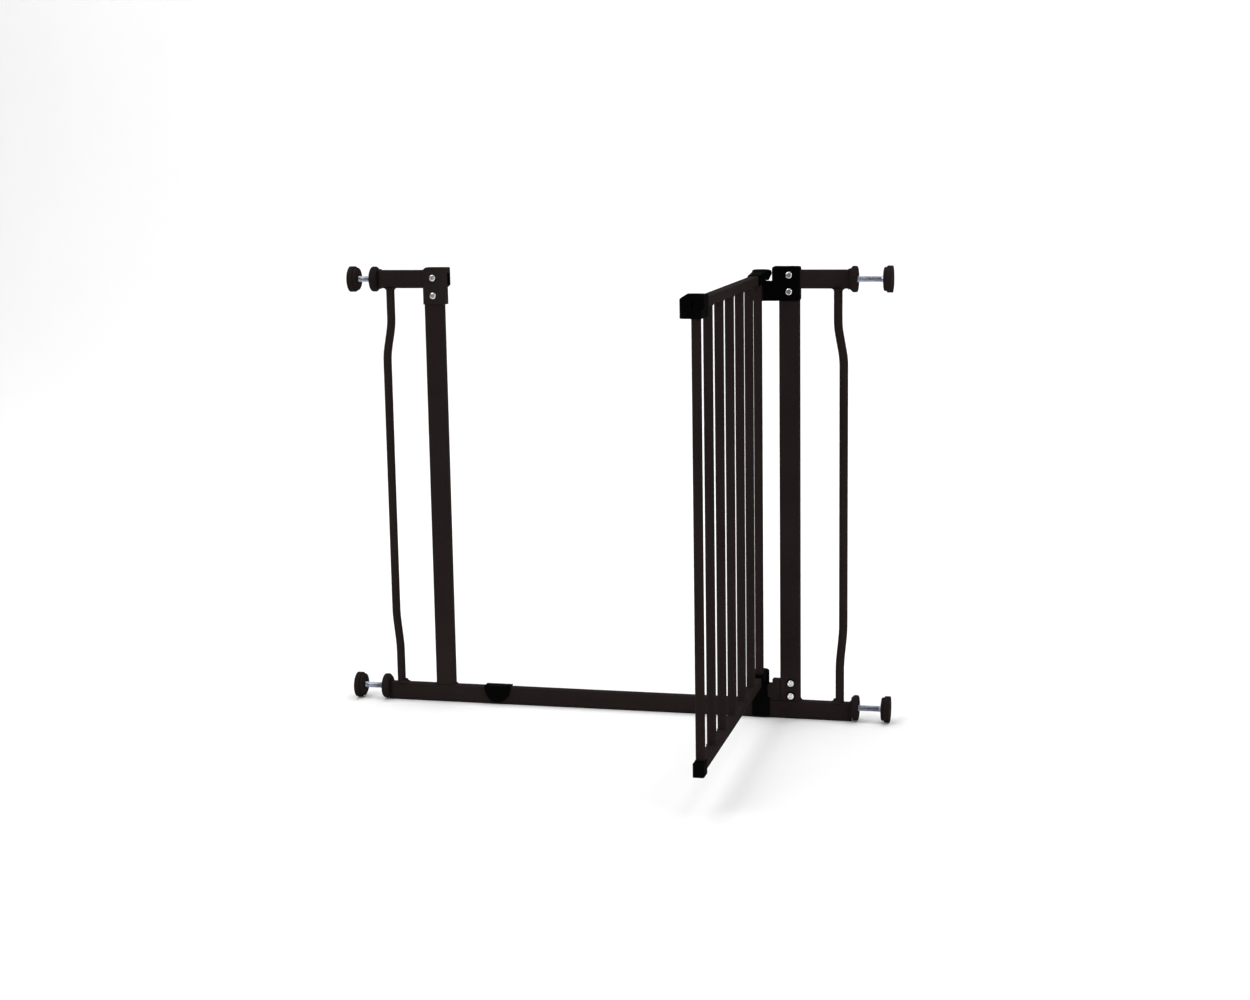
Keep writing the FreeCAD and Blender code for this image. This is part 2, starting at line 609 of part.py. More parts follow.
def handle_block():
    """The whole handle, before it is split: a section pushed along the door, trimmed in plan."""
    section = [(-24, 707.5), (-24, 733), (-21.4, 735.8), (-10.5, HANDLE_TOP), (10.5, HANDLE_TOP), (12.5, 740),
               (12.5, 722), (9, 718.5), (9, 707.5)]
    ring = [Vector(HANDLE_START, y, z) for y, z in section]
    body = Part.Face(Part.makePolygon(ring + ring[:1])).extrude(Vector(HANDLE_END - HANDLE_START, 0, 0))
    nose = 12.0
    arc = Part.Arc(Vector(HANDLE_END - nose, -24, 0),
                   Vector(HANDLE_END - nose + nose * math.sin(math.radians(45)),
                          -24 + nose - nose * math.cos(math.radians(45)), 0),
                   Vector(HANDLE_END, -24 + nose, 0))
    plan = [Vector(HANDLE_END, -24 + nose, 0), Vector(HANDLE_END, 9.5, 0), Vector(HANDLE_END - 3, 12.5, 0),
            Vector(HANDLE_START + 14, 12.5, 0), Vector(HANDLE_START + 5, 9, 0), Vector(HANDLE_START, 9, 0),
            Vector(HANDLE_START, -9, 0), Vector(HANDLE_START + 10, -24, 0), Vector(HANDLE_END - nose, -24, 0)]
    edges = [Part.makeLine(a, b) for a, b in zip(plan, plan[1:])]
    outline = Part.Face(Part.Wire([arc.toShape()] + edges)).extrude(Vector(0, 0, 60))
    outline.translate(Vector(0, 0, 700))
    above = prism_y([(HANDLE_START - 1, 737.8), (LAST_BAR, HANDLE_TOP), (LAST_BAR, 760), (HANDLE_START - 1, 760)],
                    -40, 40)
    return body.common(outline).cut(above)


def handle_voids():
    """What both shells are cut from: rail, end bar, thumb slide's track, bolt's window, screws."""
    rail = box(HANDLE_START - 5, RAIL_END, -HALF_RAIL, HALF_RAIL, TOP_RAIL_BOTTOM, TOP_RAIL_TOP)
    bar = rod(BAR_R, Vector(LAST_BAR, 0, 600), Z_AXIS, TOP_RAIL_BOTTOM - 600 + 0.001)
    track = box(SLIDE_START - 0.5, SLIDE_START + SLIDE_LENGTH + BOLT_TRAVEL + 0.5, -SLIDE_HALF - 0.3,
                SLIDE_HALF + 0.3, TOP_RAIL_TOP - 0.001, 760)
    half_window = BOLT_SIDE / 2 + 0.4
    window = box(RAIL_END - 1, HANDLE_END + 5, -half_window, half_window, TOP_RAIL_AXIS_Z - half_window,
                 TOP_RAIL_AXIS_Z + half_window)
    return [rail, bar, track, window]


HANDLE_SCREW_X = (484.0, 499.0)
HANDLE_SCREW_Z = 714.0
HANDLE_SCREW_R = 1.75


def handle_shell(side):
    body = handle_block()
    for void in handle_voids():
        body = body.cut(void)
    keep = box(0, 600, 0, 40, 600, 800) if side > 0 else box(0, 600, -40, 0, 600, 800)
    body = body.common(keep)
    if side < 0:
        for x in HANDLE_SCREW_X:
            body = body.cut(rod(3.6, Vector(x, -60, HANDLE_SCREW_Z), Y_AXIS, 50))
            body = body.cut(rod(HANDLE_SCREW_R + 0.1, Vector(x, -60, HANDLE_SCREW_Z), Y_AXIS, 70))
    else:
        for x in HANDLE_SCREW_X:
            body = body.cut(rod(HANDLE_SCREW_R, Vector(x, 0, HANDLE_SCREW_Z), Y_AXIS, 5.5))
    return max(body.Solids, key=lambda solid: solid.Volume)


def handle_screw(x):
    """A small pan-head screw that enters from the grip side."""
    seat = -10.0
    head = rod(3.3, Vector(x, seat - 2.0, HANDLE_SCREW_Z), Y_AXIS, 2.0)
    head = head.makeFillet(1.0, edges_near(head, lambda b: b.YMax < seat - 1.99))
    screw = head.fuse(rod(HANDLE_SCREW_R, Vector(x, seat, HANDLE_SCREW_Z), Y_AXIS, 15.0))
    for dx, dz in ((0.4, 1.9), (1.9, 0.4)):
        screw = screw.cut(box(x - dx, x + dx, seat - 5, seat - 1.0, HANDLE_SCREW_Z - dz, HANDLE_SCREW_Z + dz))
    return screw


BOLT_END = RAIL_END + 1.0


def latch_bolt():
    """A square bolt in the end of the top rail, with a ramp on the side that meets the receiver."""
    half = BOLT_SIDE / 2
    start = BOLT_END - BOLT_LENGTH
    low = TOP_RAIL_AXIS_Z - half
    high = TOP_RAIL_AXIS_Z + half
    body = box(start, BOLT_END, -half, half, low, high)
    body = rounded(body, X_AXIS, 0.8)
    ramp = [Vector(BOLT_END + 1, -half - 1, low - 1), Vector(BOLT_END + 1, -half + BOLT_RAMP, low - 1),
            Vector(BOLT_END - BOLT_RAMP, -half - 1, low - 1)]
    wedge = Part.Face(Part.makePolygon(ramp + ramp[:1])).extrude(Vector(0, 0, BOLT_SIDE + 2))
    mortise = box(STEM_START - 0.1, STEM_START + STEM_LENGTH + 0.1, -STEM_HALF - 0.1, STEM_HALF + 0.1,
                  TOP_RAIL_AXIS_Z - 1, high + 1)
    return body.cut(wedge).cut(mortise)


def thumb_slide():
    """A ribbed slide in the top of the handle, with a stem that drops into the bolt."""
    low = TOP_RAIL_TOP + 0.4
    body = box(SLIDE_START, SLIDE_START + SLIDE_LENGTH, -SLIDE_HALF, SLIDE_HALF, low, SLIDE_TOP)
    body = rounded(body, Z_AXIS, 2.0)
    body = body.makeFillet(0.8, edges_near(body, lambda b: b.ZMin > SLIDE_TOP - 0.01))
    ribs = 5
    for i in range(ribs):
        x = SLIDE_START + 4 + i * (SLIDE_LENGTH - 8) / (ribs - 1)
        body = body.cut(box(x - 0.7, x + 0.7, -SLIDE_HALF - 1, SLIDE_HALF + 1, SLIDE_TOP - 1.0, SLIDE_TOP + 1))
    stem = box(STEM_START, STEM_START + STEM_LENGTH, -STEM_HALF, STEM_HALF, TOP_RAIL_AXIS_Z - 0.5, low + 0.5)
    return body.fuse(stem)


SPRING_START = 432.0
SPRING_STOP_LENGTH = 8.0


def latch_spring():
    """A compression spring behind the bolt, drawn pressed together as it is with the bolt drawn in."""
    wire_r = 0.6
    coil_r = 4.2
    length = BOLT_END - BOLT_LENGTH - SPRING_START - 2 * wire_r - 0.4
    turns = 8
    helix = Part.makeHelix(length / turns, length, coil_r)
    ring = Part.Wire(Part.makeCircle(wire_r, Vector(coil_r, 0, 0), Y_AXIS))
    spring = Part.Wire(helix).makePipeShell([ring], True, True)
    spring.rotate(Vector(0, 0, 0), Y_AXIS, 90)
    spring.translate(Vector(SPRING_START + wire_r + 0.2, 0, TOP_RAIL_AXIS_Z))
    return spring


def spring_stop():
    return rail_plug(TOP_RAIL_BOTTOM, SPRING_START - SPRING_STOP_LENGTH, SPRING_START)


# ---------------------------------------------------------------- all nodes


def make_frame():
    save("base_tube", base_tube())
    save("left_upright", upright(-1))
    save("right_upright", upright(1))
    save("top_left_arm", top_arm(-1))
    save("top_right_arm", top_arm(1))
    save("left_side_bar", side_bar(-1))
    save("right_side_bar", side_bar(1))
    bushes = []
    for side in (-1, 1):
        bushes.append(end_bush(side, ARM_END, FRAME_TOP - TUBE_WIDE, TOP_AXIS_Z))
        bushes.append(end_bush(side, BASE_HALF, 0.0, BOTTOM_AXIS_Z))
    save("tube_end_bushes", *bushes)
    save("latch_receiver", latch_receiver())
    save("latch_receiver_cover", latch_receiver_cover())
    save("strike_plate", strike_plate())
    save("top_hinge_bracket", top_hinge_bracket())
    save("top_hinge_bracket_cover", top_hinge_bracket_cover())
    save("bottom_hinge_bracket", bottom_hinge_bracket())
    save("bottom_pivot_block", bottom_pivot_block())
    save("threshold_clip", threshold_clip())
    save("bracket_screws", *[pan_head_screw(*place) for place in screw_places()])
    save("bracket_nuts", *[nut(x, z, back) for x, z, _, back in screw_places()])
    save("screw_washers", *[screw_washer(z) for z in BOTTOM_SCREWS])
    save("top_hinge_pin", hinge_pin(HINGE_BOSS_Z[0] + 4, 737.5))
    save("bottom_hinge_pin", hinge_pin(20.0, 75.0))
    save("hinge_washers", hinge_washer(HINGE_BOSS_Z[1]), hinge_washer(PIVOT_TOP))


def make_spindles():
    for corner, reach in WALL_REACH.items():
        axis_z = TOP_AXIS_Z if corner.startswith("top") else BOTTOM_AXIS_Z
        tube_end = ARM_END if corner.startswith("top") else BASE_HALF
        pieces = {"spindle": spindle(reach, axis_z), "hand_wheel": hand_wheel(tube_end, axis_z),
                  "spindle_foot": spindle_foot(reach, axis_z), "wall_cup": wall_cup(reach, axis_z)}
        for kind, shape in pieces.items():
            placed = mirrored_x(shape) if corner.endswith("left") else shape
            save("%s_%s" % (kind, corner), placed)


def make_door():
    save("door_top_rail", on_door(door_top_rail()))
    save("door_bottom_rail", on_door(door_rail(BOTTOM_RAIL_BOTTOM)))
    for number in range(1, BAR_COUNT + 1):
        save("door_bar_%d" % number, on_door(door_bar(number)))
    save("top_hinge_cap", on_door(top_hinge_cap()))
    save("bottom_hinge_cap", on_door(bottom_hinge_cap()))
    save("bottom_rail_end_cap", on_door(bottom_rail_end_cap()))
    save("handle_left_shell", on_door(handle_shell(-1)))
    save("handle_right_shell", on_door(handle_shell(1)))
    save("handle_screws", *[on_door(handle_screw(x)) for x in HANDLE_SCREW_X])
    save("latch_bolt", on_door(latch_bolt()))
    save("thumb_slide", on_door(thumb_slide()))
    save("latch_spring", on_door(latch_spring()))
    save("spring_stop", on_door(spring_stop()))


os.makedirs("parts", exist_ok=True)
make_frame()
make_spindles()
make_door()
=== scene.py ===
import bmesh
import bpy
import json
import math
from mathutils import Matrix, Vector


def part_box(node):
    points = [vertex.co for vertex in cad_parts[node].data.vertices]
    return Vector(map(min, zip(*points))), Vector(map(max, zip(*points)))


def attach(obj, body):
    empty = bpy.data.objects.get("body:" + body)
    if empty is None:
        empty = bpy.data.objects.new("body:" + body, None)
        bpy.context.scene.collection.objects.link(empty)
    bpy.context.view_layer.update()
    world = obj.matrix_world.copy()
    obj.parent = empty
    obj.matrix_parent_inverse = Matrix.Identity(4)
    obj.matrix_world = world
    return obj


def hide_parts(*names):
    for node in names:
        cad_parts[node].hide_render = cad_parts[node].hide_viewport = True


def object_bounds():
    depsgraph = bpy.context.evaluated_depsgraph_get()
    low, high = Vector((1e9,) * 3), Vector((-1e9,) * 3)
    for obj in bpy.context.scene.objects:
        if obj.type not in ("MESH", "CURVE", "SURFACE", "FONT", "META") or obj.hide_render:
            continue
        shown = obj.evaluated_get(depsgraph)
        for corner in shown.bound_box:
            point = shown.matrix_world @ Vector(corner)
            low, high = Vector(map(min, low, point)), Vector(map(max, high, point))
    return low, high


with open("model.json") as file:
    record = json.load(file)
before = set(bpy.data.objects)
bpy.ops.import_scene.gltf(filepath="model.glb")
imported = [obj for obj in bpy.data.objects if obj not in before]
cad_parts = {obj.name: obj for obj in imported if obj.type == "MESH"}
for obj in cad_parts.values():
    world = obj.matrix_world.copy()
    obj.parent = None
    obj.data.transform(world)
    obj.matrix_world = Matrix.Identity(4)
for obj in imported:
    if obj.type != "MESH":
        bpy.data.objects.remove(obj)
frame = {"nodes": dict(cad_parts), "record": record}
NODES = frame["nodes"]
CAD_BOX = [list(corner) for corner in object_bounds()]
MM = 0.001


# ---------------------------------------------------------------- materials


NOISE_SPAN = (0.3, 0.7)
THIN_COAT = 0.03


class Recipe:
    """A principled material whose colour, roughness and relief come from textures in metres."""

    def __init__(self, name, roughness, metallic=0.0, specular=0.5, coat=0.0, coat_roughness=0.2):
        self.material = bpy.data.materials.new(name)
        self.material.use_nodes = True
        self.nodes = self.material.node_tree.nodes
        self.links = self.material.node_tree.links
        self.shader = self.nodes["Principled BSDF"]
        self.shader.inputs["Roughness"].default_value = roughness
        self.shader.inputs["Metallic"].default_value = metallic
        self.shader.inputs["Specular IOR Level"].default_value = specular
        self.shader.inputs["Coat Weight"].default_value = coat
        self.shader.inputs["Coat Roughness"].default_value = coat_roughness
        self.place = self.nodes.new("ShaderNodeTexCoord").outputs["Object"]
        self.last_bump = None

    def join(self, source, target):
        self.links.new(source, target)

    def stretched(self, stretch):
        """The place, scaled by axis, for streaks that run along one axis."""
        mapping = self.nodes.new("ShaderNodeMapping")
        mapping.inputs["Scale"].default_value = stretch
        self.join(self.place, mapping.inputs["Vector"])
        return mapping.outputs["Vector"]

    def noise(self, scale, detail=3.0, stretch=None):
        texture = self.nodes.new("ShaderNodeTexNoise")
        texture.inputs["Scale"].default_value = scale
        texture.inputs["Detail"].default_value = detail
        self.join(self.stretched(stretch) if stretch else self.place, texture.inputs["Vector"])
        return texture.outputs["Fac"]

    def cells(self, scale):
        texture = self.nodes.new("ShaderNodeTexVoronoi")
        texture.inputs["Scale"].default_value = scale
        self.join(self.place, texture.inputs["Vector"])
        return texture.outputs["Distance"]

    def ranged(self, value, low, high, to_low, to_high):
        node = self.nodes.new("ShaderNodeMapRange")
        for key, number in (("From Min", low), ("From Max", high), ("To Min", to_low), ("To Max", to_high)):
            node.inputs[key].default_value = number
        self.join(value, node.inputs["Value"])
        return node.outputs["Result"]

    def mixed(self, factor, first, second):
        """A colour between two: each is a colour or another node's output."""
        node = self.nodes.new("ShaderNodeMix")
        node.data_type = "RGBA"
        self.join(factor, node.inputs["Factor"])
        for key, colour in (("A", first), ("B", second)):
            socket = [s for s in node.inputs if s.name == key and s.type == "RGBA"][0]
            if isinstance(colour, tuple):
                socket.default_value = (*colour, 1.0)
            else:
                self.join(colour, socket)
        return [s for s in node.outputs if s.type == "RGBA"][0]

    def colour(self, source):
        self.join(source, self.shader.inputs["Base Color"])

    def roughness(self, source, low, high):
        self.join(self.ranged(source, *NOISE_SPAN, low, high), self.shader.inputs["Roughness"])

    def relief(self, source, distance, strength):
        """A bump on top of the earlier ones, under the coat as well."""
        bump = self.nodes.new("ShaderNodeBump")
        bump.inputs["Distance"].default_value = distance
        bump.inputs["Strength"].default_value = strength
        self.join(source, bump.inputs["Height"])
        if self.last_bump:
            self.join(self.last_bump, bump.inputs["Normal"])
        self.last_bump = bump.outputs["Normal"]
        self.join(self.last_bump, self.shader.inputs["Normal"])
        self.join(self.last_bump, self.shader.inputs["Coat Normal"])


def powder_coat(name, dark, light):
    """Satin powder coat: a soft orange peel, fine flow waves and a little tone change along the tube."""
    fleck_colour = tuple(c * 1.5 for c in light)
    paint = Recipe(name, roughness=0.42, specular=0.0, coat=THIN_COAT, coat_roughness=0.4)
    broad = paint.ranged(paint.noise(scale=9.0, detail=4.0), *NOISE_SPAN, 0.0, 1.0)
    fleck = paint.ranged(paint.noise(scale=420.0, detail=2.0), 0.56, 0.66, 0.0, 0.35)
    paint.colour(paint.mixed(fleck, paint.mixed(broad, dark, light), fleck_colour))
    paint.roughness(paint.noise(scale=34.0, detail=5.0), low=0.36, high=0.52)
    paint.relief(paint.noise(scale=260.0, detail=2.0), distance=0.12 * MM, strength=0.22)
    paint.relief(paint.noise(scale=1400.0, detail=3.0), distance=0.05 * MM, strength=0.25)
    return paint.material


def grained_plastic(name, dark, light, roughness=(0.42, 0.6), grain=1500.0):
    """Moulded plastic with a spark-eroded grain, faint flow marks and slight handling polish."""
    fleck_colour = tuple(c * 1.9 for c in light)
    plastic = Recipe(name, roughness=roughness[0], specular=0.0, coat=THIN_COAT, coat_roughness=0.45)
    flow_marks = plastic.noise(scale=22.0, detail=5.0, stretch=(1.0, 1.0, 0.35))
    flow = plastic.ranged(flow_marks, *NOISE_SPAN, 0.0, 1.0)
    fleck = plastic.ranged(plastic.cells(grain * 0.5), 0.0, 0.5, 0.25, 0.0)
    plastic.colour(plastic.mixed(fleck, plastic.mixed(flow, dark, light), fleck_colour))
    plastic.roughness(plastic.noise(scale=48.0, detail=4.0), *roughness)
    plastic.relief(plastic.cells(grain), distance=0.06 * MM, strength=0.35)
    plastic.relief(plastic.noise(scale=120.0, detail=2.0), distance=0.08 * MM, strength=0.12)
    return plastic.material


def plated_steel(name, dull, bright, roughness, streak=(1.0, 1.0, 1.0)):
    """Plated steel: cloudy zinc, drawing streaks along one axis and fine scratches."""
    steel = Recipe(name, roughness=roughness[0], metallic=1.0)
    clouds = steel.ranged(steel.noise(scale=55.0, detail=5.0), 0.32, 0.68, 0.0, 1.0)
    steel.colour(steel.mixed(clouds, dull, bright))
    steel.roughness(steel.noise(scale=500.0, detail=4.0, stretch=streak), *roughness)
    steel.relief(steel.noise(scale=900.0, detail=3.0, stretch=streak), distance=0.04 * MM, strength=0.3)
    return steel.material


INK = (0.0008, 0.0007, 0.0007)
SOFT_BLACK = (0.0020, 0.0017, 0.0017)
MATERIALS = {
    "frame_paint": powder_coat("satin_powder_coat", (0.0156, 0.0108, 0.0104), (0.0202, 0.0142, 0.0138)),
    "satin_plastic": grained_plastic("brown_black_plastic", (0.0156, 0.0118, 0.0104),
                                     (0.0206, 0.0158, 0.0140)),
    "black_plastic": grained_plastic("black_plastic", INK, SOFT_BLACK),
    "wheel_plastic": grained_plastic("wheel_plastic", (0.0122, 0.0090, 0.0084), (0.0182, 0.0134, 0.0126)),
    "foot_plastic": grained_plastic("foot_plastic", (0.0118, 0.0082, 0.0078), (0.0170, 0.0120, 0.0114),
                                    roughness=(0.34, 0.46)),
    "cup_plastic": grained_plastic("cup_rubber", (0.0112, 0.0078, 0.0076), (0.0164, 0.0118, 0.0112),
                                   roughness=(0.62, 0.8), grain=900.0),
    "slide_plastic": grained_plastic("slide_plastic", (0.0016, 0.0014, 0.0014), (0.0032, 0.0028, 0.0028)),
    "bolt_plastic": grained_plastic("bolt_acetal", INK, SOFT_BLACK, roughness=(0.3, 0.42)),
    "washer_plastic": grained_plastic("washer_nylon", INK, SOFT_BLACK, roughness=(0.3, 0.4)),
    "threaded_steel": plated_steel("zinc_thread", (0.20, 0.22, 0.27), (0.46, 0.49, 0.57), (0.2, 0.34)),
    "zinc_steel": plated_steel("zinc_plate", (0.42, 0.43, 0.45), (0.66, 0.67, 0.69), (0.24, 0.42),
                               streak=(1.0, 0.08, 1.0)),
    "black_steel": plated_steel("black_oxide", (0.012, 0.011, 0.010), (0.024, 0.022, 0.020), (0.4, 0.55)),
    "spring_steel": plated_steel("spring_wire", (0.20, 0.20, 0.21), (0.38, 0.38, 0.39), (0.3, 0.45)),
    "bright_screws": plated_steel("bright_screws", (0.62, 0.63, 0.64), (0.88, 0.88, 0.88), (0.16, 0.3)),
}


def dress_cad_nodes():
    for part in frame["record"]["subparts"]:
        mesh = NODES[part["node"]].data
        mesh.materials.clear()
        mesh.materials.append(MATERIALS[part["material_slot"]])


# ---------------------------------------------------------------- new pieces


def piece_from(bm, name, slot_name, body, smooth_under=40.0):
    """Turns a bmesh into a piece that rides on a body and takes a slot's material."""
    bmesh.ops.recalc_face_normals(bm, faces=bm.faces)
    mesh = bpy.data.meshes.new(name)
    bm.to_mesh(mesh)
    bm.free()
    mesh.shade_smooth()
    mesh.set_sharp_from_angle(angle=math.radians(smooth_under))
    piece = bpy.data.objects.new(name, mesh)
    bpy.context.scene.collection.objects.link(piece)
    mesh.materials.append(MATERIALS[slot_name])
    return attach(piece, body)


def skin(bm, here, after):
    """Faces between two closed rows of points."""
    count = len(here)
    for j in range(count):
        k = (j + 1) % count
        bm.faces.new((here[j], after[j], after[k], here[k]))


# Welds. A bead has a hollow face between its two legs, and sinks a little into the steel it joins.

BEAD_POINTS = 7
BEAD_HOLLOW = 0.85
BEAD_SINK = 0.2 * MM
BEAD_OVERLAP = 0.3 * MM
STEPS_PER_RIPPLE = 3.0
RING_STEPS = 48
RING_RIPPLE = 0.10
RING_SWELL = 0.12
LINE_STEPS = 30
LINE_RIPPLE = 0.09
LINE_END_SIZE = 0.35
LINE_END_SLOPE = 6.0
SIDE_BAR_WELD = 4.4 * MM
UPRIGHT_WELD = 4.6 * MM
UPRIGHT_WELD_INSET = 1.5 * MM
DOOR_WELD = 1.5 * MM
DOOR_BARS = 7


def ripple(index, count, depth):
    """A weld bead's rise and fall along its run."""
    return depth * math.sin(2 * math.pi * index / count * round(count / STEPS_PER_RIPPLE))


def bead_face(size):
    """The points of a bead's hollow face, from the end of one leg to the end of the other."""
    points = []
    for j in range(BEAD_POINTS):
        sweep = math.radians(90.0) * j / (BEAD_POINTS - 1)
        first_leg = size * (1.0 - math.sin(sweep)) ** BEAD_HOLLOW
        second_leg = size * (1.0 - math.cos(sweep)) ** BEAD_HOLLOW
        points.append((first_leg, second_leg))
    return points


def ring_bead(bm, centre, up, radius, leg):
    """A fillet weld round a bar that stands on a flat face. up is +1 or -1 along Z, away from the face."""
    rings = []
    for i in range(RING_STEPS):
        turn = 2 * math.pi * i / RING_STEPS
        out = Vector((math.cos(turn), math.sin(turn), 0.0))
        swell = RING_SWELL * math.sin(turn * 3 + centre.x * 400)
        size = leg * (1.0 + ripple(i, RING_STEPS, RING_RIPPLE) + swell)
        section = [(radius + away, height) for away, height in bead_face(size)]
        section.append((radius - BEAD_OVERLAP, size))
        section.append((radius - BEAD_OVERLAP, -BEAD_SINK))
        section.append((radius + size, -BEAD_SINK))
        rings.append([bm.verts.new(centre + out * r + Vector((0, 0, up * height))) for r, height in section])
    for i in range(RING_STEPS):
        skin(bm, rings[i], rings[(i + 1) % RING_STEPS])


def line_bead(bm, start, end, side_a, side_b, leg):
    """A fillet weld in the corner of two flat faces, from start to end."""
    rows = []
    for i in range(LINE_STEPS + 1):
        share = i / LINE_STEPS
        point = start.lerp(end, share)
        taper = min(1.0, LINE_END_SLOPE * min(share, 1.0 - share) + LINE_END_SIZE)
        size = leg * taper * (1.0 + ripple(i, LINE_STEPS, LINE_RIPPLE))
        row = [bm.verts.new(point - side_a * BEAD_SINK - side_b * BEAD_SINK)]
        for a, b in bead_face(size):
            row.append(bm.verts.new(point + side_a * a + side_b * b))
        rows.append(row)
    for here, after in zip(rows, rows[1:]):
        skin(bm, here, after)
    for row in (rows[0], rows[-1]):
        bm.faces.new(row)


def welds_on_frame():
    """Beads at both ends of the side bars and at the uprights' feet. The right upright's inner side has
    none, because the bottom hinge bracket covers it."""
    bm = bmesh.new()
    base_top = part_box("base_tube")[1].z
    for side in ("left", "right"):
        low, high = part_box("%s_side_bar" % side)
        radius = (high.y - low.y) / 2
        foot_x = high.x - radius if side == "left" else low.x + radius
        for z, up in ((base_top, 1.0), (high.z, -1.0)):
            ring_bead(bm, Vector((foot_x, 0.0, z)), up, radius, SIDE_BAR_WELD)
        low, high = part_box("%s_upright" % side)
        front = low.y + UPRIGHT_WELD_INSET
        back = high.y - UPRIGHT_WELD_INSET
        for x, out in ((low.x, -1.0), (high.x, 1.0)):
            if side == "right" and out < 0:
                continue
            ends = [Vector((x, y, base_top)) for y in (front, back)]
            line_bead(bm, *ends, Vector((out, 0, 0)), Vector((0, 0, 1)), UPRIGHT_WELD)
    return piece_from(bm, "frame_weld_beads", "frame_paint", "frame")


def welds_on_door():
    """Beads where the bars meet the rails. The first and last bars' feet and the last bar's top are
    inside the caps and the handle."""
    bm = bmesh.new()
    for number in range(1, DOOR_BARS + 1):
        low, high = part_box("door_bar_%d" % number)
        centre = (low + high) / 2
        radius = (high.x - low.x) / 2
        if 1 < number < DOOR_BARS:
            ring_bead(bm, Vector((centre.x, centre.y, low.z)), 1.0, radius, DOOR_WELD)
        if number < DOOR_BARS:
            ring_bead(bm, Vector((centre.x, centre.y, high.z)), -1.0, radius, DOOR_WELD)
    return piece_from(bm, "door_weld_beads", "frame_paint", "door")


# Spindles. Each has a rolled thread and a plain end in its foot.

THREAD_PITCH = 1.5 * MM
THREAD_DEPTH = 0.7 * MM
THREAD_STEPS = 28
THREAD_PROFILE = (
    (0.0, 0.0), (0.14, 0.02), (0.42, 0.92), (0.50, 1.0), (0.58, 1.0), (0.66, 0.92), (0.94, 0.02),
)
THREAD_SMOOTH_UNDER = 50.0
MERGE_UNDER = 1e-6
PLAIN_END = 7.5 * MM
SHANK_OVERLAP = 0.4 * MM
SHANK_CHAMFER = 0.6 * MM
SHANK_STEPS = 40


def rolled_thread(bm, start, end, crest_r, axis_y, axis_z):
    """A right-hand thread along X: one column of rows for each step of turn, shifted along the helix.
    It runs out to its root over one pitch at each end. A profile point is a share of the pitch and a
    share of the depth."""
    turns = int(math.ceil((end - start) / THREAD_PITCH)) + 1
    columns = []
    for c in range(THREAD_STEPS):
        turn = 2 * math.pi * c / THREAD_STEPS
        column = []
        for k in range(-1, turns):
            for phase, lift in THREAD_PROFILE:
                x = min(max(start + (k + phase + c / THREAD_STEPS) * THREAD_PITCH, start), end)
                fade = min(1.0, (x - start) / THREAD_PITCH, (end - x) / THREAD_PITCH)
                radius = crest_r - THREAD_DEPTH * (1.0 - lift * fade)
                place = (x, axis_y + radius * math.cos(turn), axis_z + radius * math.sin(turn))
                column.append(bm.verts.new(place))
        columns.append(column)
    rows = len(columns[0])
    for c in range(THREAD_STEPS):
        shift = len(THREAD_PROFILE) if c == THREAD_STEPS - 1 else 0
        here, after = columns[c], columns[(c + 1) % THREAD_STEPS]
        for r in range(rows - 1 - shift):
            bm.faces.new((here[r], after[r + shift], after[r + 1 + shift], here[r + 1]))
    bmesh.ops.remove_doubles(bm, verts=bm.verts, dist=MERGE_UNDER)
    bmesh.ops.holes_fill(bm, edges=[edge for edge in bm.edges if edge.is_boundary], sides=0)


def plain_shank(bm, start, end, radius, axis_y, axis_z):
    """The unthreaded end, with a small chamfer at each rim."""
    sections = (
        (start, radius - SHANK_CHAMFER),
        (start + SHANK_CHAMFER, radius),
        (end - SHANK_CHAMFER, radius),
        (end, radius - SHANK_CHAMFER),
    )
    rings = []
    for x, r in sections:
        ring = []
        for i in range(SHANK_STEPS):
            turn = 2 * math.pi * i / SHANK_STEPS
            ring.append(bm.verts.new((x, axis_y + r * math.cos(turn), axis_z + r * math.sin(turn))))
        rings.append(ring)
    for here, after in zip(rings, rings[1:]):
        skin(bm, here, after)
    bm.faces.new(rings[0])
    bm.faces.new(rings[-1])


def threads_on_spindles():
    for corner in ("top_left", "bottom_left", "top_right", "bottom_right"):
        node = "spindle_%s" % corner
        low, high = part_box(node)
        axis = ((low.y + high.y) / 2, (low.z + high.z) / 2)
        radius = (high.z - low.z) / 2
        bm = bmesh.new()
        if corner.endswith("left"):
            rolled_thread(bm, low.x + PLAIN_END, high.x, radius, *axis)
            plain_shank(bm, low.x, low.x + PLAIN_END + SHANK_OVERLAP, radius, *axis)
        else:
            rolled_thread(bm, low.x, high.x - PLAIN_END, radius, *axis)
            plain_shank(bm, high.x - PLAIN_END - SHANK_OVERLAP, high.x, radius, *axis)
        thread = piece_from(bm, "thread_%s" % corner, "threaded_steel", node, THREAD_SMOOTH_UNDER)
        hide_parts(node)


# ---------------------------------------------------------------- stage, light and camera


FLOOR_DROP = 0.6 * MM
FLOOR_FRONT = -7.0
FLOOR_HALF_WIDTH = 9.0
BEND_START = 3.2
BEND_RADIUS = 1.6
BEND_STEPS = 24
BACKDROP_TOP = 6.0
LIGHT_TARGET = (0.0, -0.2, 0.35)
WORLD_STRENGTH = 0.22
CAMERA_PLACE = (0.825711, -3.310533, 0.951387)
CAMERA_YAW = 0.238112
CAMERA_PITCH = 0.171892
CAMERA_ROLL = -0.016063
CAMERA_SENSOR = 36.0
CAMERA_LENS = 59.757


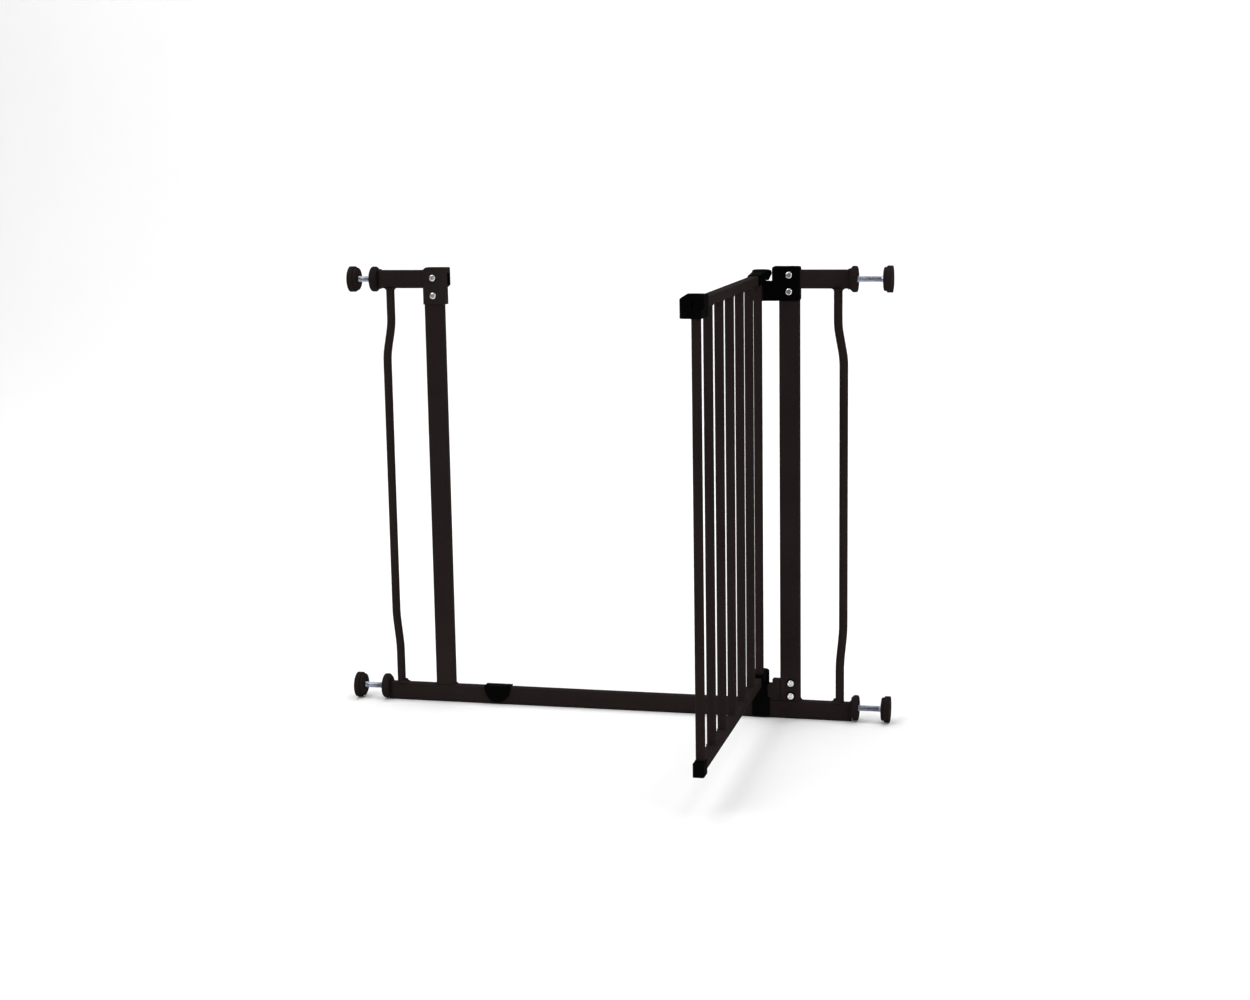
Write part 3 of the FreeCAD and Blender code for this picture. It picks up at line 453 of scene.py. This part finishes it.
def add_floor():
    """A pale floor that sweeps up into a backdrop behind the gate."""
    bm = bmesh.new()
    floor_z = CAD_BOX[0][2] - FLOOR_DROP
    profile = [(FLOOR_FRONT, floor_z), (BEND_START, floor_z)]
    for i in range(1, BEND_STEPS + 1):
        turn = math.radians(90.0) * i / BEND_STEPS
        y = BEND_START + BEND_RADIUS * math.sin(turn)
        profile.append((y, floor_z + BEND_RADIUS * (1 - math.cos(turn))))
    profile.append((BEND_START + BEND_RADIUS, BACKDROP_TOP))
    rows = [[bm.verts.new((x, y, z)) for x in (-FLOOR_HALF_WIDTH, FLOOR_HALF_WIDTH)] for y, z in profile]
    for here, after in zip(rows, rows[1:]):
        bm.faces.new((here[0], here[1], after[1], after[0]))
    mesh = bpy.data.meshes.new("studio_floor")
    bm.to_mesh(mesh)
    bm.free()
    mesh.shade_smooth()
    floor = bpy.data.objects.new("studio_floor", mesh)
    bpy.context.scene.collection.objects.link(floor)
    look = Recipe("pale_floor", roughness=0.85, specular=0.1)
    look.colour(look.mixed(look.noise(scale=1.3, detail=2.0), (0.90, 0.90, 0.90), (0.93, 0.93, 0.93)))
    mesh.materials.append(look.material)


def add_area_light(name, place, target, size, power):
    data = bpy.data.lights.new(name, "AREA")
    data.shape = "RECTANGLE"
    data.size, data.size_y = size
    data.energy = power
    lamp = bpy.data.objects.new(name, data)
    lamp.location = place
    lamp.rotation_euler = (Vector(target) - Vector(place)).to_track_quat("-Z", "Y").to_euler()
    bpy.context.scene.collection.objects.link(lamp)


def add_lights():
    add_area_light("key_light", (-2.2, -2.6, 3.4), LIGHT_TARGET, size=(2.6, 2.6), power=84.0)
    add_area_light("fill_light", (3.2, -1.6, 2.2), LIGHT_TARGET, size=(2.4, 2.4), power=46.0)
    add_area_light("top_light", (0.0, 0.6, 4.2), LIGHT_TARGET, size=(5.0, 4.0), power=128.0)
    add_area_light("backdrop_light", (-1.4, 2.0, 3.6), (-1.4, 4.6, 1.2), size=(9.5, 1.6), power=118.0)
    world = bpy.data.worlds.new("studio_world")
    world.use_nodes = True
    background = world.node_tree.nodes["Background"]
    background.inputs["Color"].default_value = (1.0, 1.0, 1.0, 1.0)
    background.inputs["Strength"].default_value = WORLD_STRENGTH
    bpy.context.scene.world = world
    bpy.context.scene.view_settings.view_transform = "Standard"


def add_camera():
    ahead = Vector((
        -math.sin(CAMERA_YAW) * math.cos(CAMERA_PITCH),
        math.cos(CAMERA_YAW) * math.cos(CAMERA_PITCH),
        -math.sin(CAMERA_PITCH),
    ))
    level = Vector((math.cos(CAMERA_YAW), math.sin(CAMERA_YAW), 0.0))
    up = level.cross(ahead)
    right = level * math.cos(CAMERA_ROLL) + up * math.sin(CAMERA_ROLL)
    top = up * math.cos(CAMERA_ROLL) - level * math.sin(CAMERA_ROLL)
    data = bpy.data.cameras.new("photo_camera")
    data.sensor_width = CAMERA_SENSOR
    data.lens = CAMERA_LENS
    camera = bpy.data.objects.new("photo_camera", data)
    turn = Matrix((right, top, -ahead)).transposed()
    camera.matrix_world = Matrix.Translation(Vector(CAMERA_PLACE)) @ turn.to_4x4()
    bpy.context.scene.collection.objects.link(camera)
    bpy.context.scene.camera = camera


dress_cad_nodes()
welds_on_frame()
welds_on_door()
threads_on_spindles()
add_floor()
add_lights()
add_camera()
